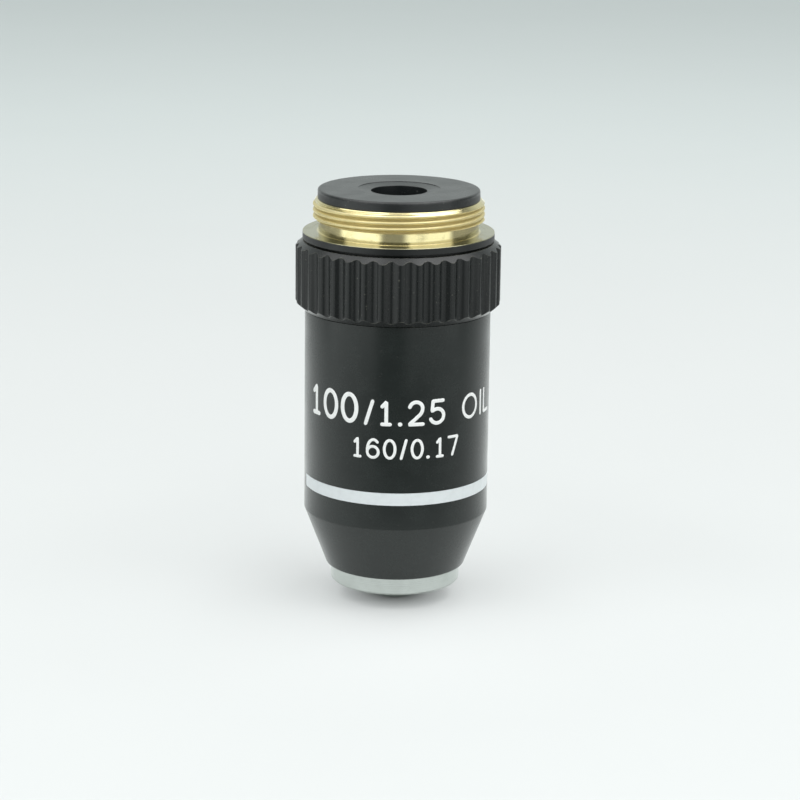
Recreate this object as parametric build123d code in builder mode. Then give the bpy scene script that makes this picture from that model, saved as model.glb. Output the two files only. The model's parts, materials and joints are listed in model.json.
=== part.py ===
from build123d import *
import math
import os

# Oil immersion microscope objective with a spring-loaded nose, standing on its tip.
# Millimetres. Z is the optical axis, from the tip of the nose at z = 0 up to the thread.
# Radii are named with _radius, heights above the tip with _z.

# Lengths set by the microscope standard
parfocal_length = 45.0
cover_glass = 0.17
working_distance = 0.13
shoulder_z = parfocal_length - cover_glass - working_distance

# Clearances
thread_gap = 0.05
slide_gap = 0.05
seat_gap = 0.02
cement_gap = 0.02

# Mounting ring
thread_radius = 10.1
thread_end_height = 3.84
thread_lead = 0.4
relief_depth = 0.66
relief_height = 1.35
mount_wall = 1.44
flange_width = 1.21
flange_thickness = 0.85
flange_break = 0.12
flange_overhang = 0.31
undercut_margin = 0.15
undercut_depth = 0.05
neck_length = 6.0

# Rear plate
plate_inset = 0.6
plate_thickness = 1.16
plate_bevel_width = 0.18
plate_bevel_height = 0.4
plate_spigot_length = 2.0
rear_hole_radius = 3.3
rear_dish_width = 1.55
rear_dish_depth = 0.26

# Barrel
barrel_wall = 1.4
spring_space = 1.81
cone_mouth_wall = 0.51
cone_length = 6.93
nose_reach = 4.17
guide_length = 5.5
mouth_break = 0.12

# Colour band, filled into a shallow groove that stops short of a full turn
band_height = 1.54
band_bottom_above_cone = 3.0
band_depth = 0.12
band_arc = 340.0
band_start_angle = 193.0

# Scalloped collar
collar_rise = 1.12
collar_seat_depth = 0.3
collar_top_drop = 0.25
collar_height = 8.08
collar_top_bevel_height = 0.68
collar_top_bevel_width = 1.07
collar_bottom_bevel_height = 0.8
collar_bottom_bevel_width = 0.92
scallop_count = 36
scallop_start_angle = 6.4
scallop_radius_share = 0.37
scallop_depth_share = 0.19
ridge_radius_share = 0.35

# Sliding lens tube
tube_wall = 1.54
tube_overhang = 1.03
nose_travel = 1.8
nose_drop = 2.1
nose_bevel = 0.4
nose_mouth_radius = 5.0

# Stop ring on the tube, sprung against the shoulder inside the barrel
stop_ring_clearance = 0.3
stop_ring_height = 2.0

# Spring and the ring that holds it down
spring_wire_width = 0.7
spring_length = 14.3
spring_turns = 5
spring_ring_height = 3.0

# Guide pin in its keyway
guide_pin_radius = 0.6
guide_pin_reach = 0.54
keyway_clear_depth = 0.1
keyway_clear_length = 0.9

# Spanner slots of the threaded rings
slot_width = 1.2
slot_depth = 0.9

# Front cell
tip_radius = 2.2
tip_break = 0.1
front_cone_inset = 1.34
front_neck_height = 2.93
front_neck_wall = 1.35
front_cavity_clearance = 0.05
front_lip_width = 0.18
front_lip_height = 0.1

# Front lens, more than half of a ball with a flat face
front_ball_radius = 1.3
front_ball_rise = 0.55

# Lens train above the front cell: walls of the cells, thicknesses of the lenses and their curves.
# A curve is positive where the surface bends up towards its rim, and negative where it bends down.
cell_rim_gap = 0.05
cell_ledge_width = 0.5
cell_rim_cover = 0.2

meniscus_rim_radius = 2.5
meniscus_z = 3.2
meniscus_thickness = 1.3
meniscus_low_curve = -4.5
meniscus_high_curve = -3.1
meniscus_cell_drop = 0.62
meniscus_flange_height = 1.5

front_spacer_height = 2.0
front_spacer_wall = 1.75

middle_cell_wall = 1.9
middle_lens_rise = 0.7
middle_crown_edge = 0.35
middle_flint_thickness = 0.9
middle_low_curve = 9.0
middle_joint_curve = -6.0
middle_high_curve = -14.0

rear_spacer_height = 2.0
rear_spacer_wall = 1.35

rear_cell_wall = 1.1
rear_lens_rise = 0.8
rear_crown_edge = 0.97
rear_flint_thickness = 1.2
rear_low_curve = 16.0
rear_joint_curve = -8.5
rear_high_curve = -30.0

stop_disc_thickness = 0.4
stop_disc_hole_radius = 3.4
lock_ring_height = 2.6
lock_ring_wall = 1.25


def sagitta(curve, radius):
    """Height of a ball-shaped lens surface at a radius, above its vertex on the axis."""
    depth = abs(curve) - (curve**2 - radius**2) ** 0.5
    return depth if curve > 0 else -depth


# Radii that follow from the mounting thread
relief_radius = thread_radius - relief_depth
mount_bore_radius = relief_radius - mount_wall
plate_radius = thread_radius - plate_inset
undercut_radius = thread_radius + undercut_margin
flange_radius = thread_radius + flange_width

# Radii that follow, from the flange in through the barrel to the lens tube
barrel_radius = flange_radius - flange_overhang
collar_radius = barrel_radius + collar_rise
scallop_pitch = 2 * math.pi * collar_radius / scallop_count
scallop_radius = scallop_radius_share * scallop_pitch
scallop_centre_radius = collar_radius + scallop_radius - scallop_depth_share * scallop_pitch
collar_seat_radius = barrel_radius - collar_seat_depth
barrel_bore_radius = barrel_radius - barrel_wall
neck_radius = barrel_bore_radius - thread_gap
guide_bore_radius = barrel_bore_radius - spring_space
cone_mouth_radius = guide_bore_radius + cone_mouth_wall
tube_radius = guide_bore_radius - slide_gap
stop_ring_radius = barrel_bore_radius - stop_ring_clearance
spring_radius = (stop_ring_radius + guide_bore_radius) / 2

# Radii that follow, in the lens tube
tube_bore_radius = tube_radius - tube_wall
cell_radius = tube_bore_radius - thread_gap
front_cone_radius = tube_radius - nose_bevel - front_cone_inset
front_neck_radius = nose_mouth_radius - thread_gap
front_cavity_radius = front_neck_radius - front_neck_wall
front_lip_radius = (front_ball_radius**2 - front_ball_rise**2) ** 0.5 - front_lip_width
middle_rim_radius = cell_radius - middle_cell_wall - cell_rim_gap
rear_rim_radius = cell_radius - rear_cell_wall - cell_rim_gap

# Heights that follow, down from the shoulder
ring_top_z = shoulder_z + thread_end_height
plate_top_z = ring_top_z + plate_thickness
flange_bottom_z = shoulder_z - flange_thickness
collar_top_z = flange_bottom_z - collar_top_drop
collar_bottom_z = collar_top_z - collar_height

# Heights that follow, up from the nose
nose_z = nose_reach - nose_drop
barrel_stop_z = nose_reach + guide_length
cone_top_z = nose_reach + cone_length
band_bottom_z = cone_top_z + band_bottom_above_cone
stop_ring_top_z = barrel_stop_z + stop_ring_height
spring_top_z = stop_ring_top_z + spring_length
spring_ring_top_z = spring_top_z + spring_ring_height
guide_pin_z = spring_top_z + spring_ring_height / 2
tube_top_z = spring_ring_top_z + tube_overhang

# Heights that follow, up through the lens train
front_neck_top_z = nose_z + front_neck_height
meniscus_seat_z = meniscus_z + sagitta(meniscus_low_curve, meniscus_rim_radius) - seat_gap
meniscus_cell_z = meniscus_seat_z - meniscus_cell_drop
meniscus_cell_top_z = front_neck_top_z + meniscus_flange_height
front_cavity_z = meniscus_cell_z - front_cavity_clearance
middle_cell_z = meniscus_cell_top_z + front_spacer_height
middle_crown_z = middle_cell_z + middle_lens_rise
middle_crown_sagitta = sagitta(middle_low_curve, middle_rim_radius)
middle_joint_sagitta = sagitta(middle_joint_curve, middle_rim_radius)
middle_joint_z = middle_crown_z + middle_crown_sagitta + middle_crown_edge - middle_joint_sagitta
middle_cell_top_z = middle_joint_z + middle_flint_thickness + cell_rim_cover
rear_cell_z = middle_cell_top_z + rear_spacer_height
rear_crown_z = rear_cell_z + rear_lens_rise
rear_crown_sagitta = sagitta(rear_low_curve, rear_rim_radius)
rear_joint_sagitta = sagitta(rear_joint_curve, rear_rim_radius)
rear_joint_z = rear_crown_z + rear_crown_sagitta + rear_crown_edge - rear_joint_sagitta
rear_cell_top_z = rear_joint_z + rear_flint_thickness + cell_rim_cover
stop_disc_top_z = rear_cell_top_z + stop_disc_thickness
lock_ring_top_z = stop_disc_top_z + lock_ring_height


def lens_section(rim_radius, low_z, low_curve, high_z, high_curve):
    """Outline of half a lens, drawn into the line that is open."""
    half_radius = rim_radius / 2
    low_middle = (half_radius, low_z + sagitta(low_curve, half_radius))
    low_rim = (rim_radius, low_z + sagitta(low_curve, rim_radius))
    high_middle = (half_radius, high_z + sagitta(high_curve, half_radius))
    high_rim = (rim_radius, high_z + sagitta(high_curve, rim_radius))
    ThreePointArc((0, low_z), low_middle, low_rim)
    Line(low_rim, high_rim)
    ThreePointArc(high_rim, high_middle, (0, high_z))
    Line((0, high_z), (0, low_z))


def ring_section(inner_radius, outer_radius, low_z, high_z):
    """Rectangular half section of a plain ring, drawn into the line that is open."""
    Polyline(
        (inner_radius, low_z), (outer_radius, low_z), (outer_radius, high_z), (inner_radius, high_z), close=True
    )


def cell_section(outer_radius, low_z, high_z, rim_radius, seat_z):
    """Half section of a lens cell: a bore for the rim above a ledge that carries the glass."""
    ledge_radius = rim_radius - cell_ledge_width
    bore_radius = rim_radius + cell_rim_gap
    Polyline(
        (ledge_radius, low_z),
        (outer_radius, low_z),
        (outer_radius, high_z),
        (bore_radius, high_z),
        (bore_radius, seat_z),
        (ledge_radius, seat_z),
        close=True,
    )


os.makedirs("parts", exist_ok=True)

# Mounting ring: thread above the shoulder flange, neck screwed into the barrel
with BuildPart() as mount_ring:
    with BuildSketch(Plane.XZ):
        with BuildLine():
            Polyline(
                (mount_bore_radius, flange_bottom_z - neck_length),
                (neck_radius, flange_bottom_z - neck_length),
                (neck_radius, flange_bottom_z),
                (flange_radius, flange_bottom_z),
                (flange_radius, shoulder_z),
                (undercut_radius, shoulder_z),
                (undercut_radius, shoulder_z - undercut_depth),
                (relief_radius, shoulder_z - undercut_depth),
                (relief_radius, shoulder_z + relief_height),
                (thread_radius, shoulder_z + relief_height),
                (thread_radius, ring_top_z),
                (mount_bore_radius, ring_top_z),
                close=True,
            )
        make_face()
    revolve(axis=Axis.Z)
    rims = mount_ring.edges().filter_by(GeomType.CIRCLE)
    chamfer(rims.group_by(Axis.Z)[-1].sort_by(SortBy.RADIUS)[-1], thread_lead)
    flange_rims = mount_ring.edges().filter_by(GeomType.CIRCLE).sort_by(SortBy.RADIUS)[-2:]
    chamfer(flange_rims, flange_break)
mount_ring.part.label = "mount_ring"
export_step(mount_ring.part, "parts/mount_ring.step")

# Rear plate: a cap with the light hole, its spigot down in the mounting ring
with BuildPart() as rear_plate:
    with BuildSketch(Plane.XY.offset(ring_top_z)):
        Circle(plate_radius)
    extrude(amount=plate_thickness)
    plate_top = rear_plate.faces().sort_by(Axis.Z)[-1]
    chamfer(plate_top.edges(), plate_bevel_width, plate_bevel_height, reference=plate_top)
    with BuildSketch(Plane.XY.offset(ring_top_z - plate_spigot_length)):
        Circle(mount_bore_radius - thread_gap)
    extrude(amount=plate_spigot_length)
    with Locations((0, 0, plate_top_z)):
        CounterBoreHole(rear_hole_radius, rear_hole_radius + rear_dish_width, rear_dish_depth)
rear_plate.part.label = "rear_plate"
export_step(rear_plate.part, "parts/rear_plate.step")

# Plane through the axis where the colour band starts
band_plane = Plane(
    origin=(0, 0, 0),
    x_dir=Vector(1, 0, 0).rotate(Axis.Z, band_start_angle),
    z_dir=Vector(0, -1, 0).rotate(Axis.Z, band_start_angle),
)

# Barrel: sleeve and nose cone in one piece, with an inner shoulder that stops the tube
with BuildPart() as barrel:
    with BuildSketch(Plane.XZ):
        with BuildLine():
            Polyline(
                (guide_bore_radius, nose_reach),
                (cone_mouth_radius, nose_reach),
                (barrel_radius, cone_top_z),
                (barrel_radius, collar_bottom_z),
                (collar_seat_radius, collar_bottom_z),
                (collar_seat_radius, flange_bottom_z),
                (barrel_bore_radius, flange_bottom_z),
                (barrel_bore_radius, barrel_stop_z),
                (guide_bore_radius, barrel_stop_z),
                close=True,
            )
        make_face()
    revolve(axis=Axis.Z)
    mouth_rims = barrel.edges().filter_by(GeomType.CIRCLE).group_by(Axis.Z)[0]
    chamfer(mouth_rims.sort_by(SortBy.RADIUS)[-1], mouth_break)
    with BuildSketch(band_plane):
        with BuildLine():
            ring_section(barrel_radius - band_depth, barrel_radius, band_bottom_z, band_bottom_z + band_height)
        make_face()
    revolve(axis=Axis.Z, revolution_arc=band_arc, mode=Mode.SUBTRACT)
barrel.part.label = "barrel"
export_step(barrel.part, "parts/barrel.step")

# Colour band, level with the barrel
with BuildPart() as colour_band:
    with BuildSketch(band_plane):
        with BuildLine():
            ring_section(
                barrel_radius - band_depth + seat_gap,
                barrel_radius,
                band_bottom_z + seat_gap,
                band_bottom_z + band_height - seat_gap,
            )
        make_face()
    revolve(axis=Axis.Z, revolution_arc=band_arc)
colour_band.part.label = "colour_band"
export_step(colour_band.part, "parts/colour_band.step")

# Scalloped collar with rounded ridges, pressed over the top of the barrel
with BuildPart() as knurled_collar:
    with BuildSketch(Plane.XZ):
        with BuildLine():
            Polyline(
                (collar_seat_radius + thread_gap, collar_bottom_z),
                (collar_radius - collar_bottom_bevel_width, collar_bottom_z),
                (collar_radius, collar_bottom_z + collar_bottom_bevel_height),
                (collar_radius, collar_top_z - collar_top_bevel_height),
                (collar_radius - collar_top_bevel_width, collar_top_z),
                (collar_seat_radius + thread_gap, collar_top_z),
                close=True,
            )
        make_face()
    revolve(axis=Axis.Z)
    with BuildSketch(Plane.XY.offset(collar_bottom_z)) as scallops:
        Circle(collar_radius)
        with PolarLocations(scallop_centre_radius, scallop_count, start_angle=scallop_start_angle):
            Circle(scallop_radius, mode=Mode.SUBTRACT)
        fillet(scallops.vertices(), ridge_radius_share * scallop_pitch)
    extrude(amount=collar_height, mode=Mode.INTERSECT)
knurled_collar.part.label = "knurled_collar"
export_step(knurled_collar.part, "parts/knurled_collar.step")

# Spring ring: threaded into the barrel, holds the spring down and guides the rear of the tube
with BuildPart() as spring_ring:
    with BuildSketch(Plane.XZ):
        with BuildLine():
            ring_section(guide_bore_radius, barrel_bore_radius - thread_gap, spring_top_z, spring_ring_top_z)
        make_face()
    revolve(axis=Axis.Z)
    with BuildSketch(Plane.XY.offset(spring_ring_top_z)):
        Rectangle(2 * barrel_bore_radius, slot_width)
    extrude(amount=-slot_depth, mode=Mode.SUBTRACT)
    with BuildSketch(Plane.XZ.offset(-guide_bore_radius + slide_gap)):
        with Locations((0, guide_pin_z)):
            Circle(guide_pin_radius + seat_gap)
    extrude(amount=-(barrel_bore_radius - guide_bore_radius), mode=Mode.SUBTRACT)
spring_ring.part.label = "spring_ring"
export_step(spring_ring.part, "parts/spring_ring.step")

# Guide pin: pressed through the spring ring, its end in the keyway of the tube
with BuildPart() as guide_pin:
    with BuildSketch(Plane.XZ.offset(-(tube_radius - guide_pin_reach))):
        with Locations((0, guide_pin_z)):
            Circle(guide_pin_radius)
    extrude(amount=-(barrel_bore_radius - 2 * thread_gap - tube_radius + guide_pin_reach))
guide_pin.part.label = "guide_pin"
export_step(guide_pin.part, "parts/guide_pin.step")

# Spring: open coils of square wire with both ends ground flat
with BuildPart() as spring:
    spring_pitch = spring_length / spring_turns
    with BuildLine():
        coil = Helix(spring_pitch, spring_length, spring_radius, center=(0, 0, stop_ring_top_z))
    with BuildSketch(Plane(origin=coil @ 0, x_dir=(1, 0, 0), z_dir=coil % 0)):
        Rectangle(spring_wire_width, spring_wire_width)
    sweep(is_frenet=True)
    split(bisect_by=Plane.XY.offset(stop_ring_top_z), keep=Keep.TOP)
    split(bisect_by=Plane.XY.offset(spring_top_z), keep=Keep.BOTTOM)
spring.part.label = "spring"
export_step(spring.part, "parts/spring.step")

# Lens tube: the bright nose below and the sleeve that holds the lens train
with BuildPart() as lens_tube:
    with BuildSketch(Plane.XZ):
        with BuildLine():
            Polyline(
                (nose_mouth_radius, nose_z),
                (tube_radius, nose_z),
                (tube_radius, tube_top_z),
                (tube_bore_radius, tube_top_z),
                (tube_bore_radius, front_neck_top_z - thread_gap),
                (nose_mouth_radius, front_neck_top_z - thread_gap),
                close=True,
            )
        make_face()
    revolve(axis=Axis.Z)
    nose_rims = lens_tube.edges().filter_by(GeomType.CIRCLE).group_by(Axis.Z)[0]
    chamfer(nose_rims.sort_by(SortBy.RADIUS)[-1], nose_bevel)
    keyway_depth = guide_pin_reach + keyway_clear_depth
    keyway_bottom_z = guide_pin_z - guide_pin_radius - nose_travel - keyway_clear_length
    with BuildSketch(Plane.XY.offset(keyway_bottom_z)):
        with Locations((0, tube_radius)):
            Rectangle(2 * (guide_pin_radius + slide_gap), 2 * keyway_depth)
    extrude(amount=tube_top_z - keyway_bottom_z, mode=Mode.SUBTRACT)
lens_tube.part.label = "lens_tube"
export_step(lens_tube.part, "parts/lens_tube.step")

# Stop ring: threaded on the tube, it sets how far the nose stands out
with BuildPart() as stop_ring:
    with BuildSketch(Plane.XZ):
        with BuildLine():
            ring_section(tube_radius + thread_gap, stop_ring_radius, barrel_stop_z, stop_ring_top_z)
        make_face()
    revolve(axis=Axis.Z)
    with BuildSketch(Plane.XY.offset(stop_ring_top_z)):
        Rectangle(2 * stop_ring_radius, slot_width)
    extrude(amount=-slot_depth, mode=Mode.SUBTRACT)
stop_ring.part.label = "stop_ring"
export_step(stop_ring.part, "parts/stop_ring.step")

# Front cell: conical tip with the seat of the front lens, its neck up in the tube
with BuildPart() as front_cell:
    front_seat_radius = front_ball_radius + cell_rim_gap
    with BuildSketch(Plane.XZ):
        with BuildLine():
            Polyline(
                (front_lip_radius, 0),
                (tip_radius, 0),
                (front_cone_radius, nose_z),
                (front_neck_radius, nose_z),
                (front_neck_radius, front_neck_top_z),
                (front_cavity_radius, front_neck_top_z),
                (front_cavity_radius, front_cavity_z),
                (front_seat_radius, front_cavity_z),
                (front_seat_radius, front_lip_height),
                (front_lip_radius, front_lip_height),
                close=True,
            )
        make_face()
    revolve(axis=Axis.Z)
    tip_rims = front_cell.edges().filter_by(GeomType.CIRCLE).group_by(Axis.Z)[0]
    fillet(tip_rims.sort_by(SortBy.RADIUS)[-1], tip_break)
front_cell.part.label = "front_cell"
export_step(front_cell.part, "parts/front_cell.step")

# Front lens
with BuildPart() as front_lens:
    with Locations((0, 0, front_lip_height + front_ball_rise)):
        Sphere(front_ball_radius)
    split(bisect_by=Plane.XY.offset(front_lip_height), keep=Keep.TOP)
front_lens.part.label = "front_lens"
export_step(front_lens.part, "parts/front_lens.step")

# Meniscus lens and its cell, which stands down in the cavity of the front cell
with BuildPart() as meniscus_lens:
    with BuildSketch(Plane.XZ):
        with BuildLine():
            lens_section(
                meniscus_rim_radius,
                meniscus_z,
                meniscus_low_curve,
                meniscus_z + meniscus_thickness,
                meniscus_high_curve,
            )
        make_face()
    revolve(axis=Axis.Z)
meniscus_lens.part.label = "meniscus_lens"
export_step(meniscus_lens.part, "parts/meniscus_lens.step")

with BuildPart() as meniscus_cell:
    with BuildSketch(Plane.XZ):
        with BuildLine():
            cell_section(
                front_cavity_radius - thread_gap,
                meniscus_cell_z,
                meniscus_cell_top_z,
                meniscus_rim_radius,
                meniscus_seat_z,
            )
        make_face()
        with BuildLine():
            ring_section(
                front_cavity_radius - thread_gap, cell_radius, front_neck_top_z, meniscus_cell_top_z
            )
        make_face()
    revolve(axis=Axis.Z)
meniscus_cell.part.label = "meniscus_cell"
export_step(meniscus_cell.part, "parts/meniscus_cell.step")

with BuildPart() as front_spacer:
    with BuildSketch(Plane.XZ):
        with BuildLine():
            ring_section(cell_radius - front_spacer_wall, cell_radius, meniscus_cell_top_z, middle_cell_z)
        make_face()
    revolve(axis=Axis.Z)
front_spacer.part.label = "front_spacer"
export_step(front_spacer.part, "parts/front_spacer.step")

# Middle doublet: a crown lens and a flint lens cemented at one curve
with BuildPart() as middle_crown:
    with BuildSketch(Plane.XZ):
        with BuildLine():
            lens_section(
                middle_rim_radius, middle_crown_z, middle_low_curve, middle_joint_z, middle_joint_curve
            )
        make_face()
    revolve(axis=Axis.Z)
middle_crown.part.label = "middle_crown"
export_step(middle_crown.part, "parts/middle_crown.step")

with BuildPart() as middle_flint:
    with BuildSketch(Plane.XZ):
        with BuildLine():
            lens_section(
                middle_rim_radius,
                middle_joint_z + cement_gap,
                middle_joint_curve,
                middle_joint_z + middle_flint_thickness,
                middle_high_curve,
            )
        make_face()
    revolve(axis=Axis.Z)
middle_flint.part.label = "middle_flint"
export_step(middle_flint.part, "parts/middle_flint.step")

with BuildPart() as middle_cell:
    middle_ledge_radius = middle_rim_radius - cell_ledge_width
    middle_seat_z = middle_crown_z + sagitta(middle_low_curve, middle_ledge_radius) - seat_gap
    with BuildSketch(Plane.XZ):
        with BuildLine():
            cell_section(cell_radius, middle_cell_z, middle_cell_top_z, middle_rim_radius, middle_seat_z)
        make_face()
    revolve(axis=Axis.Z)
middle_cell.part.label = "middle_cell"
export_step(middle_cell.part, "parts/middle_cell.step")

with BuildPart() as rear_spacer:
    with BuildSketch(Plane.XZ):
        with BuildLine():
            ring_section(cell_radius - rear_spacer_wall, cell_radius, middle_cell_top_z, rear_cell_z)
        make_face()
    revolve(axis=Axis.Z)
rear_spacer.part.label = "rear_spacer"
export_step(rear_spacer.part, "parts/rear_spacer.step")

# Rear doublet, built as the middle one
with BuildPart() as rear_crown:
    with BuildSketch(Plane.XZ):
        with BuildLine():
            lens_section(rear_rim_radius, rear_crown_z, rear_low_curve, rear_joint_z, rear_joint_curve)
        make_face()
    revolve(axis=Axis.Z)
rear_crown.part.label = "rear_crown"
export_step(rear_crown.part, "parts/rear_crown.step")

with BuildPart() as rear_flint:
    with BuildSketch(Plane.XZ):
        with BuildLine():
            lens_section(
                rear_rim_radius,
                rear_joint_z + cement_gap,
                rear_joint_curve,
                rear_joint_z + rear_flint_thickness,
                rear_high_curve,
            )
        make_face()
    revolve(axis=Axis.Z)
rear_flint.part.label = "rear_flint"
export_step(rear_flint.part, "parts/rear_flint.step")

with BuildPart() as rear_cell:
    rear_ledge_radius = rear_rim_radius - cell_ledge_width
    rear_seat_z = rear_crown_z + sagitta(rear_low_curve, rear_ledge_radius) - seat_gap
    with BuildSketch(Plane.XZ):
        with BuildLine():
            cell_section(cell_radius, rear_cell_z, rear_cell_top_z, rear_rim_radius, rear_seat_z)
        make_face()
    revolve(axis=Axis.Z)
rear_cell.part.label = "rear_cell"
export_step(rear_cell.part, "parts/rear_cell.step")

# Aperture stop and the slotted ring that locks the whole train in the tube
with BuildPart() as aperture_stop:
    with BuildSketch(Plane.XY.offset(rear_cell_top_z)):
        Circle(cell_radius)
        Circle(stop_disc_hole_radius, mode=Mode.SUBTRACT)
    extrude(amount=stop_disc_thickness)
aperture_stop.part.label = "aperture_stop"
export_step(aperture_stop.part, "parts/aperture_stop.step")

with BuildPart() as lock_ring:
    with BuildSketch(Plane.XZ):
        with BuildLine():
            ring_section(cell_radius - lock_ring_wall, cell_radius, stop_disc_top_z, lock_ring_top_z)
        make_face()
    revolve(axis=Axis.Z)
    with BuildSketch(Plane.XY.offset(lock_ring_top_z)):
        Rectangle(2 * cell_radius, slot_width)
    extrude(amount=-slot_depth, mode=Mode.SUBTRACT)
lock_ring.part.label = "lock_ring"
export_step(lock_ring.part, "parts/lock_ring.step")
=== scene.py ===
import json
import math
import bpy
import numpy as np
from mathutils import Matrix

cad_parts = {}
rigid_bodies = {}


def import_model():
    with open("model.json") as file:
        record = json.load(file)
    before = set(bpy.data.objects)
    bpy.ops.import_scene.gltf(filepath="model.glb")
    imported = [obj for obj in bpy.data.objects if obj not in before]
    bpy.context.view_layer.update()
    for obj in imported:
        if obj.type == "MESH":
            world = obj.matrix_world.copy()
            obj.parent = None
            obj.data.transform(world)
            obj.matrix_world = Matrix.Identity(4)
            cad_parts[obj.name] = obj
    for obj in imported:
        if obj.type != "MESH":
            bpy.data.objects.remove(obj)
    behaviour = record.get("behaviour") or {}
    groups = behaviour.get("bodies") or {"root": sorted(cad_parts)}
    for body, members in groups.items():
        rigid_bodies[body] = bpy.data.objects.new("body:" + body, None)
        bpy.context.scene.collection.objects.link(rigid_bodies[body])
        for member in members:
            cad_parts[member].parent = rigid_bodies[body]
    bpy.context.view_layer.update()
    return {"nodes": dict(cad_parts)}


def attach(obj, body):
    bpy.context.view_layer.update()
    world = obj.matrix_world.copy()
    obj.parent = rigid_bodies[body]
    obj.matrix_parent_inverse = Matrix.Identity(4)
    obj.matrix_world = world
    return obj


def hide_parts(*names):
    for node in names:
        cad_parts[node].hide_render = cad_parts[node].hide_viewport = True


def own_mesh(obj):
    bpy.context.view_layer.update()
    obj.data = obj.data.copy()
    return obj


# Oil immersion microscope objective standing on its nose.
# Shapes are worked out in millimetres and written to the meshes in metres.
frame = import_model()
scene = bpy.context.scene
scene.view_settings.view_transform = "Standard"
millimetre = 0.001


# Meshes

def gridQuads(rows, columns, closeAround=False, closeAlong=False, first=0):
    # Quads between the points of a grid, rows along a profile by columns round the piece. The
    # last row or column joins the first where the grid is closed that way.
    index = first + np.arange(rows * columns).reshape(rows, columns)
    if closeAlong:
        index = np.vstack([index, index[:1]])
    if closeAround:
        index = np.hstack([index, index[:, :1]])
    quads = np.stack([index[:-1, :-1], index[:-1, 1:], index[1:, 1:], index[1:, :-1]], axis=-1)
    return quads.reshape(-1, 4)


def newPiece(name, points, quads):
    mesh = bpy.data.meshes.new(name)
    mesh.from_pydata((points * millimetre).tolist(), [], quads.tolist())
    mesh.update()
    mesh.shade_smooth()
    piece = bpy.data.objects.new(name, mesh)
    scene.collection.objects.link(piece)
    return piece


def gridMesh(name, points, closeAround=True, closeAlong=True, edge=None):
    # One grid of points as a piece. The edge values tell its material where the corners are.
    rows, columns = points.shape[:2]
    piece = newPiece(name, points.reshape(-1, 3), gridQuads(rows, columns, closeAround, closeAlong))
    if edge is not None:
        layer = piece.data.attributes.new("edge", "FLOAT", "POINT")
        layer.data.foreach_set("value", np.broadcast_to(edge, (rows, columns)).astype(np.float32).ravel())
    return piece


def softCorners(profile, softness, steps=4):
    # Rounds each corner of a closed profile of (radius, height) points. A corner becomes the
    # curve (1-t)^2 a + 2t(1-t) p + t^2 b between points a and b, a softness away along its two
    # sides, with one more point on each side that keeps the flats flat when they are shaded.
    # A point may be an array round the piece. The second result is 1 on the corners, 0 on flats.
    sideShare = 0.3      # the most of a side that a curve takes
    flatPoint = 1.5      # place of the point on the flat, as a multiple of the curve's reach
    edgeFall = 0.6       # how much less than 1 the second result is where a curve begins
    profile = [np.stack(np.broadcast_arrays(*point), axis=-1).astype(float) for point in profile]
    profile = np.stack(np.broadcast_arrays(*profile))
    if profile.ndim == 2:
        profile = profile[:, None, :]
    before = np.roll(profile, 1, axis=0) - profile
    after = np.roll(profile, -1, axis=0) - profile
    lengthBefore = np.linalg.norm(before, axis=-1, keepdims=True)
    lengthAfter = np.linalg.norm(after, axis=-1, keepdims=True)
    reach = np.minimum(np.reshape(softness, (-1, 1, 1)), np.minimum(lengthBefore, lengthAfter) * sideShare)
    before = before / lengthBefore
    after = after / lengthAfter
    rows = []
    edge = []
    for corner, toStart, toEnd in zip(profile, before * reach, after * reach):
        start = corner + toStart
        end = corner + toEnd
        rows.append(corner + toStart * flatPoint)
        edge.append(0.0)
        for t in np.linspace(0, 1, steps + 1):
            rows.append((1 - t) ** 2 * start + 2 * t * (1 - t) * corner + t ** 2 * end)
            edge.append(1 - abs(2 * t - 1) * edgeFall)
        rows.append(corner + toEnd * flatPoint)
        edge.append(0.0)
    return np.stack(rows), np.array(edge)


def aroundAxis(radius, angle, height):
    # Points on a cylinder of any radius: x = r cos a, y = r sin a, z = height.
    return np.stack(np.broadcast_arrays(radius * np.cos(angle), radius * np.sin(angle), height), axis=-1)


def turned(name, rows, angles, edge=None):
    # A profile turned round the axis. Its radius and height may differ from column to column.
    points = aroundAxis(rows[..., 0], angles, rows[..., 1])
    return gridMesh(name, points, edge=None if edge is None else edge[:, None])


def evenAngles(count, squareAt=(), start=0.0):
    # Even angles round the piece, and a close pair at each angle where a wall is square.
    close = 0.0005
    angles = start + np.arange(count) * 2 * math.pi / count
    pairs = [angle + side for angle in squareAt for side in (-close, close)]
    return np.sort(np.concatenate([angles, pairs]))


def turnedRing(name, profile, softness, count=256):
    # A plain turned piece from a closed profile that runs anticlockwise in (radius, height).
    rows, edge = softCorners(profile, np.broadcast_to(softness, len(profile)))
    return turned(name, rows, evenAngles(count), edge)


# Shader maths

class Wire:
    # A socket that can be added, subtracted and multiplied, each time through a Math node.
    def __init__(self, nodes, socket):
        self.nodes = nodes
        self.socket = socket

    def math(self, operation, *others):
        return self.nodes.calculate(operation, self, *others)

    def __add__(self, other):
        return self.math("ADD", other)

    def __sub__(self, other):
        return self.math("SUBTRACT", other)

    def __mul__(self, other):
        return self.math("MULTIPLY", other)

    def __rsub__(self, other):
        return self.nodes.calculate("SUBTRACT", other, self)

    __radd__ = __add__
    __rmul__ = __mul__


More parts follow.
